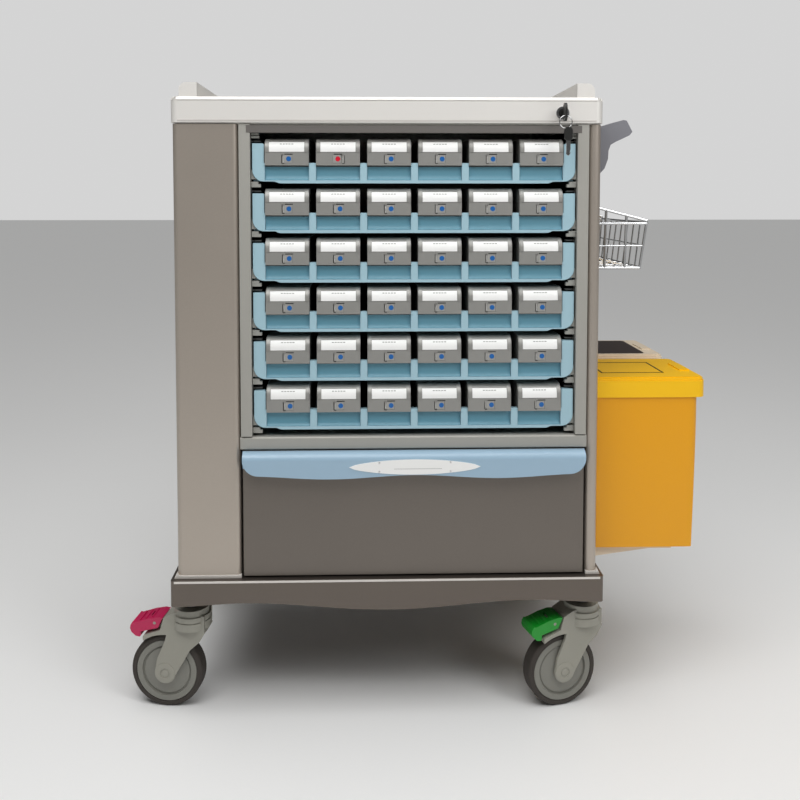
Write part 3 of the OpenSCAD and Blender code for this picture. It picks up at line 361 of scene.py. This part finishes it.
# %% Cassette labels, cheeks and dots
for k in ROWS:
    lo, hi = [Vector(v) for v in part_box(f"cassettes_{k}")]
    pitch = (hi.x - lo.x - CASSETTE_W) / (COLS - 1)
    front, top = lo.y, hi.z
    label = skin(front, top, 0.35, -0.5, 0, LABEL_END, LABEL_DROP)
    cheek = skin(front, top, 0.9, -0.6, -3, 66, 4.2 * MM)
    ledge = skin(front, top, 0.8, -0.5, 44, 50)
    rule = skin(front, top, 0.48, 0.2, 27, 31, 0, 3)
    shade_front, shade_back = front - 0.12 * MM, front + 0.2 * MM
    z = top - SLIDE_DROP
    trim, dots = Trim(f"cassette_trim_{k}"), Trim(f"status_dots_{k}")
    for c in range(COLS):
        mid = lo.x + c * pitch + CASSETTE_W / 2
        used = (k, c) == (USED_ROW, USED_COL)
        bar_side = 1 if used else -1
        slide_mid = mid + SLIDE_OFFSET - bar_side * SLIDE_HALF_TRAVEL
        bar = mid + SLIDE_OFFSET + bar_side * BAR_OFFSET
        trim.prism("card", label, mid - LABEL_HALF, mid + LABEL_HALF, "x")
        for side in (-1, 1):
            a, b = sorted((mid + side * CHEEK_IN, mid + side * CHEEK_OUT))
            trim.prism("cassette", cheek, a, b, "x")
        trim.prism("cassette", ledge, mid - CHEEK_IN, mid + CHEEK_IN, "x")
        trim.block("pale", (bar - BAR_HALF_W, front + 2.15 * MM, z - BAR_HALF_H),
                   (bar + BAR_HALF_W, front + 2.5 * MM, z + BAR_HALF_H))
        # Painted shade: three thin black strips, flush on the face, above, beside and below the latch
        # recess.
        trim.block("inside", (slide_mid - BAR_HALF_H, shade_front, z + 6.9 * MM),
                   (slide_mid + BAR_HALF_H, shade_back, z + 8.1 * MM))
        a, b = sorted((bar + bar_side * 1.7 * MM, bar + bar_side * 2.6 * MM))
        trim.block("inside", (a, shade_front, z - 7.4 * MM), (b, shade_back, z + 5.5 * MM))
        trim.block("inside", (bar - 1.8 * MM, shade_front, z - 8.1 * MM),
                   (bar + 1.8 * MM, shade_back, z - 7.0 * MM))
        for n in range(DASHES):
            dash = mid + DASH_START + n * DASH_PITCH
            trim.prism("ink", rule, dash, dash + DASH_W, "x")
        target = Trim("status_dot_used") if used else dots
        target.turned("red" if used else "blue", [(0, 0), (DOT_R, 0), (DOT_R, DOT_T), (0, DOT_T)],
                      (slide_mid, front + 0.3 * MM, z), (0, -1, 0), 28)
        if used:
            target.done("slide_used", "slide", 0)
    trim.done(f"tray_{k}", "cassette", 0.25)
    dots.done(f"slides_{k}", "slide", 0)
print("cassettes dressed:", len(ROWS) * COLS)

# %% [markdown]
# ## Runner blocks
# A nylon block fills the corner under each end of a tray's front, slotted so that the tray's floor can
# slide over it. A dark bar and a pin close the gap above, and the top tray has two more bars there.

# %% Runner blocks
EAR_TOP = 64.5
BLOCK_FRONT, BLOCK_BACK = 3 * MM, 11.5 * MM
CORNER_U, CORNER_V, CORNER_R = 19, 22, 19.8
foot = [(-2.3, -6.5), (13, -6.5), (13, -1.2), (9.1, -1.2), (9.1, 2.8), (-2.3, 2.8)]
curve = [(CORNER_U - CORNER_R * math.cos(math.radians(t)), CORNER_V - CORNER_R * math.sin(math.radians(t)))
         for t in range(0, 51, 10)]
corner = [(-2.3, 6.4)] + curve[::-1] + [(-2.3, CORNER_V)]
# Each bar: look, how far in it reaches, its front and its lower and upper edges above the ear.
BARS = [("runner_dark", 13, 6, 2.6, 4.4)]
TOP_BARS = [("runner", 11, 3, 8.4, 12.2), ("runner", 10, 4, 13.2, 17.0)]

for side in (-1, 1):
    trim = Trim("runner_blocks_left" if side < 0 else "runner_blocks_right")
    for k in ROWS:
        lo, hi = [Vector(v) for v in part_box(f"tray_{k}")]
        edge = lo.x if side < 0 else hi.x
        ear = lo.z + EAR_TOP * MM
        for look, reach, start, z0, z1 in BARS + (TOP_BARS if k == len(ROWS) else []):
            a, b = sorted((edge + side * 2.2 * MM, edge - side * reach * MM))
            trim.block(look, (a, lo.y + start * MM, ear + z0 * MM), (b, lo.y + 22 * MM, ear + z1 * MM))
        for part in (foot, corner):
            outline = [(edge - side * u * MM, lo.z + v * MM) for u, v in part]
            trim.prism("runner", outline, lo.y + BLOCK_FRONT, lo.y + BLOCK_BACK)
        trim.turned("black", [(0, 0), (1.5 * MM, 0), (1.5 * MM, 1.2 * MM), (0, 1.4 * MM)],
                    (edge - side * 2.0 * MM, lo.y + 5 * MM, ear + 3.4 * MM), (0, -1, 0), 20)
    trim.done("cabinet", "runner", 0.4)
print("runner blocks placed")

# %% [markdown]
# ## Tray recesses
# The wall at the back of each recess in a tray's front curves forward at its foot. Its darker blue is
# painted shade.

# %% Recess panels
SCOOP = ((0.9, 5.3), (3.2, 7.2), (4.6, 10), (5.4, 14), (5.6, 26.6), (6.1, 26.6), (6.1, 5.3))
for k in ROWS:
    tray_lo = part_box(f"tray_{k}")[0]
    c_lo, c_hi = [Vector(v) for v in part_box(f"cassettes_{k}")]
    pitch = (c_hi.x - c_lo.x - CASSETTE_W) / (COLS - 1)
    scoop = [(tray_lo[1] + u * MM, tray_lo[2] + v * MM) for u, v in SCOOP]
    trim = Trim(f"tray_deep_panels_{k}")
    for c in range(COLS):
        x = c_lo.x + c * pitch
        # Painted shade: each recess wall takes the darker blue.
        trim.prism("tray_recess_shade", scoop, x, x + CASSETTE_W, "x")
    trim.done(f"tray_{k}", "tray", 0)
print("recess panels:", len(ROWS) * COLS)

# %% [markdown]
# ## The drawer's pull
# The curled pull stands on a thin plate, and a boat-shaped card is held on it by four small screws. A
# plain rule marks where the contents would be written.

# %% Card, screws and rule
lo, hi = [Vector(v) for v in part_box("label_card")]
cx, cz, face = (lo.x + hi.x) / 2, (lo.z + hi.z) / 2, lo.y
trim = Trim("card_screws")
SCREW = [(0, 0), (1.7 * MM, 0), (1.5 * MM, 0.6 * MM), (0, 0.8 * MM)]
for dx, dz in ((-58, 7.5), (58, 7.5), (-58, -7.5), (58, -7.5)):
    spot = (cx + dx * MM, face, cz + dz * MM)
    trim.turned("chrome", SCREW, spot, (0, -1, 0), 20)
trim.block("ink", (cx - 34 * MM, face - 0.12 * MM, cz - 3.2 * MM),
           (cx + 44 * MM, face + 0.1 * MM, cz - 2.7 * MM))
trim.done("drawer", "card", 0)
print("card dressed at", round(cx, 4), round(cz, 4))

# %% [markdown]
# ## Lock, ring and spare key
# The ring hangs through the bow of the key; the spare key hangs from the ring by its own bow.

# %% Spare key
lo, hi = [Vector(v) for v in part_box("key_ring")]
ring_x, ring_y, low = (lo.x + hi.x) / 2, (lo.y + hi.y) / 2, lo.z
BOW_HALF, BOW_LOW, BOW_HIGH, BOW_R = 6.8 * MM, -19 * MM, 3.2 * MM, 6.0 * MM
BOW_HALF_T, BLADE_HALF_T = 1.6 * MM, 0.9 * MM
BLADE = ((-3.6, -18), (3.6, -18), (3.6, -34), (2.4, -36), (3.6, -38), (2.6, -41), (0, -43.5), (-3.4, -41))
hang_x = ring_x + 4.2 * MM
trim = Trim("spare_key")
bow = rounded(-BOW_HALF, BOW_LOW, BOW_HALF, BOW_HIGH, BOW_R)
trim.prism("black", [(hang_x + u, low + v) for u, v in bow], ring_y - BOW_HALF_T, ring_y + BOW_HALF_T)
trim.prism("chrome", [(hang_x + u * MM, low + v * MM) for u, v in BLADE],
           ring_y - BLADE_HALF_T, ring_y + BLADE_HALF_T)
trim.done("key_ring", "key_plastic", 0.5)
print("spare key hangs from", round(low, 4))

# %% [markdown]
# ## Worktop
# A bright strip of painted highlight runs along the worktop's lower edge, and a rounded bead along its
# upper edge in front and at both sides. A darker strip faces the bar under it.

# %% Worktop painted highlight, rounding and header strip
trim = Trim("worktop_painted_highlight_lip")
y, z = top_lo.y, top_hi.z - 41 * MM
# Painted highlight: a flush strip of the lighter silver along the worktop's lower edge.
trim.block("edge", (top_lo.x + 12 * MM, y - 0.3 * MM, z + 0.8 * MM),
           (top_hi.x - 12 * MM, y + 0.5 * MM, z + 3.6 * MM))
trim.done("cabinet", "worktop", 0.25)

BEAD_R, BEAD_PROUD, BEAD_END = 6.1 * MM, 0.1 * MM, 10 * MM
quarter = [(BEAD_R * (1 - math.cos(math.radians(a))), top_hi.z - BEAD_R * (1 - math.sin(math.radians(a))))
           for a in range(0, 91, 10)] + [(BEAD_R, top_hi.z - BEAD_R)]
quarter = [(u - BEAD_PROUD, v + BEAD_PROUD) for u, v in quarter]
trim = Trim("worktop_rounding")
trim.prism("top", [(top_lo.y + u, v) for u, v in quarter], top_lo.x + BEAD_END, top_hi.x - BEAD_END, "x")
for side, x in ((1, top_lo.x), (-1, top_hi.x)):
    trim.prism("top", [(x + side * u, v) for u, v in quarter], top_lo.y + BEAD_END, top_hi.y - BEAD_END)
lo, hi = [Vector(v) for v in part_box("bay_frame")]
strip = Trim("header_face")
strip.block("header", (lo.x + 12 * MM, lo.y - 0.4 * MM, hi.z - 14 * MM),
            (hi.x - 12 * MM, lo.y + 0.4 * MM, hi.z - 2 * MM))
strip.done("cabinet", "frame", 0.2)
trim.done("cabinet", "worktop", 0)
print("worktop trimmed")

# %% [markdown]
# ## Posts and base
# Each front post ends in a plinth strip that flares outwards where it meets the base, light with painted
# highlight, and a bright line of painted highlight runs along the base's upper edge.

# %% Plinths and base edge, in painted highlight
PLINTH = ((0.6, 11), (5.5, 0.2))
trim = Trim("post_plinths_painted_highlight")
base_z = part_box("base_deck")[1][2]
for node, side, inner in (("left_post", -1, 0.5), ("right_post", 1, 0)):
    lo, hi = [Vector(v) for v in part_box(node)]
    outer, far = (lo.x, hi.x) if side < 0 else (hi.x, lo.x)
    outline = [(outer + side * u * MM, base_z + v * MM) for u, v in PLINTH]
    outline += [(far + inner * MM, base_z + 0.2 * MM), (far + inner * MM, base_z + 6 * MM),
                (outer - side * 3 * MM, base_z + 6 * MM)]
    # The plinth's flared shape is real; its light colour is painted highlight.
    trim.prism("edge", outline, lo.y - 1.2 * MM, lo.y + 6 * MM)
trim.done("cabinet", "post", 0.4)
lo, hi = [Vector(v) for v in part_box("base_skirt")]
trim = Trim("base_painted_highlight_edge")
# Painted highlight: a flush bright strip along the base's upper edge.
trim.block("edge", (lo.x + 6 * MM, lo.y - 0.4 * MM, hi.z - 4.2 * MM),
           (hi.x - 6 * MM, lo.y + 0.6 * MM, hi.z - 0.6 * MM))
trim.done("cabinet", "base", 0.3)
print("plinths and base edge placed")

# %% [markdown]
# ## Bin lids
# The yellow lid carries a plain outlined panel; the cream lid has a dark inset panel.

# %% Lid trim
lo, hi = [Vector(v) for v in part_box("sharps_lid")]
trim = Trim("sharps_lid_trim")
LINE = 3 * MM
plate = hi.z - 2 * MM
u0, u1, v0, v1 = lo.x + 28 * MM, hi.x - 60 * MM, lo.y + 40 * MM, hi.y - 40 * MM
for a, b in (((u0, v0), (u1, v0 + LINE)), ((u0, v1 - LINE), (u1, v1)),
             ((u0, v0), (u0 + LINE, v1)), ((u1 - LINE, v0), (u1, v1))):
    trim.block("black", (*a, plate - 0.2 * MM), (*b, plate + 0.35 * MM))
trim.done("sharps_lid", "yellow", 0)
lo, hi = [Vector(v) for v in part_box("waste_lid")]
trim = Trim("waste_lid_panel")
inset = rounded(lo.x + 14 * MM, lo.y + 14 * MM, hi.x - 34 * MM, hi.y - 14 * MM, 8 * MM)
trim.prism("brown", inset, hi.z - 2.2 * MM, hi.z - 1.2 * MM, "z")
trim.done("waste_lid", "cream", 0.3)
print("lids dressed")

# %% [markdown]
# ## Casters
# A domed nylon boss covers each end of the axle, with a round recess in its middle, and the pedals have
# three ribs for the sole of a shoe.

# %% Axle bosses
BOSS = [(17, -3), (17, 0.6), (15.5, 1.2), (8.5, 1.2), (8.0, -0.2), (6.5, -0.2), (5.5, 0.8), (0, 1.0)]
BOSS_OUT = 22 * MM
joints = {j["name"]: j for j in frame["joints"]}
for i in range(1, 5):
    spin = joints[f"wheel_{i}_spin"]
    pos, axis = Vector(spin["pos_m"]), Vector(spin["axis"]).normalized()
    trim = Trim(f"axle_caps_{i}")
    for side in (-1, 1):
        trim.turned("fork", [(r * MM, h * MM) for r, h in BOSS], pos + axis * side * BOSS_OUT,
                    axis * side, 36)
    trim.done(f"fork_{i}", "fork", 0)
print("axle bosses placed")

# %% [markdown]
# The ribs run across the pedal, each a little lower than the one before, as the pedal slopes.

# %% Pedal ribs
RIB_START, RIB_PITCH, RIB_RISE = 5 * MM, 11 * MM, (7.6 * MM, 5.2 * MM, 1.9 * MM)
RIB_HALF_L, RIB_HALF_W, RIB_H = 16 * MM, 1.4 * MM, 1.6 * MM
CORNERS = ((-1, -1, 0), (1, -1, 0), (1, 1, 0), (-1, 1, 0), (-1, -1, 1), (1, -1, 1), (1, 1, 1), (-1, 1, 1))
SIDES = ((0, 1, 2, 3), (7, 6, 5, 4), (0, 4, 5, 1), (1, 5, 6, 2), (2, 6, 7, 3), (3, 7, 4, 0))
for node, joint, look in (("brake_pedal", "brake_press", "brake"),
                          ("lock_pedal", "direction_lock_press", "green")):
    pos, across = Vector(joints[joint]["pos_m"]), Vector(joints[joint]["axis"]).normalized()
    back = Vector((across.y, -across.x, 0))
    if back.x > 0:
        back = -back
    trim = Trim(f"{node}_ribs")
    for n, rise in enumerate(RIB_RISE):
        centre = pos + back * (RIB_START + n * RIB_PITCH) + Vector((0, 0, rise))
        ring = [trim.mesh.verts.new(centre + across * s * RIB_HALF_L + back * t * RIB_HALF_W
                                    + Vector((0, 0, h * RIB_H))) for s, t, h in CORNERS]
        for f in SIDES:
            trim.mesh.faces.new([ring[j] for j in f]).material_index = trim._look(look)
    trim.done(node, look, 0.5)
print("pedals ribbed")

# %% [markdown]
# ## Studio
# A pale floor and a pale surround. Three soft lamps hang in front: a main one high on the left, a fill on
# the right and one nearly overhead. A broad ceiling light evens out the floor.

# %% Floor and light
floor_trim = Trim("studio_floor")
FLOOR_HALF, FLOOR_T = 30, 0.02
floor_trim.block("floor", (-FLOOR_HALF, -FLOOR_HALF, -FLOOR_T), (FLOOR_HALF, FLOOR_HALF, 0.0))
floor_trim.done(None, None, 0)
world = bpy.data.worlds.new("studio")
scene.world = world
world.use_nodes = True
tree = world.node_tree
lit = tree.nodes["Background"]
lit.inputs["Color"].default_value = linear("FFFFFF")
lit.inputs["Strength"].default_value = 0.10
seen = add_node(tree, "ShaderNodeBackground", None, {"Color": linear("FFFFFF"), "Strength": 0.66})
ray = add_node(tree, "ShaderNodeLightPath")
both = add_node(tree, "ShaderNodeMixShader", None, None,
                {0: (ray, "Is Camera Ray"), 1: (lit, "Background"), 2: (seen, "Background")})
tree.links.new(both.outputs["Shader"], tree.nodes["World Output"].inputs["Surface"])
scene.view_settings.view_transform = "Standard"


def softbox(name, place, aim, size, watts):
    data = bpy.data.lights.new(name, "AREA")
    data.shape = "RECTANGLE"
    data.size, data.size_y, data.energy = size[0], size[1], watts
    lamp = bpy.data.objects.new(name, data)
    lamp.location = place
    lamp.rotation_euler = (Vector(aim) - Vector(place)).to_track_quat("-Z", "Y").to_euler()
    lamp.visible_camera = False
    scene.collection.objects.link(lamp)


softbox("window_softbox", (-0.55, -1.6, 2.35), (0, -0.2, 0.8), (1.9, 0.7), 19)
softbox("fill_softbox", (1.35, -1.7, 1.9), (0.1, 0, 0.8), (0.9, 0.9), 13)
softbox("top_softbox", (-0.1, -0.75, 2.5), (0, 0.05, 0.9), (1.8, 0.9), 13)
sun = bpy.data.lights.new("ceiling_light", "SUN")
sun.energy, sun.angle = 1.15, math.radians(70)
sun_lamp = bpy.data.objects.new("ceiling_light", sun)
scene.collection.objects.link(sun_lamp)
print("studio lit")

# %% [markdown]
# ## Camera
# The camera stands a little under two metres off at chest height, almost square to the front.

# %% Camera
data = bpy.data.cameras.new("camera")
data.lens, data.sensor_width = 40.05, 36
data.shift_x, data.shift_y = 0.0125, -0.196
camera = bpy.data.objects.new("camera", data)
camera.location = (mid_x - 0.0375, mid_y - 1.694, 0.868)
camera.rotation_euler = (math.radians(90 - 3.07), 0, math.radians(-1.6))
scene.collection.objects.link(camera)
scene.camera = camera
data.dof.use_dof = False
print("camera at", tuple(round(v, 3) for v in camera.location))
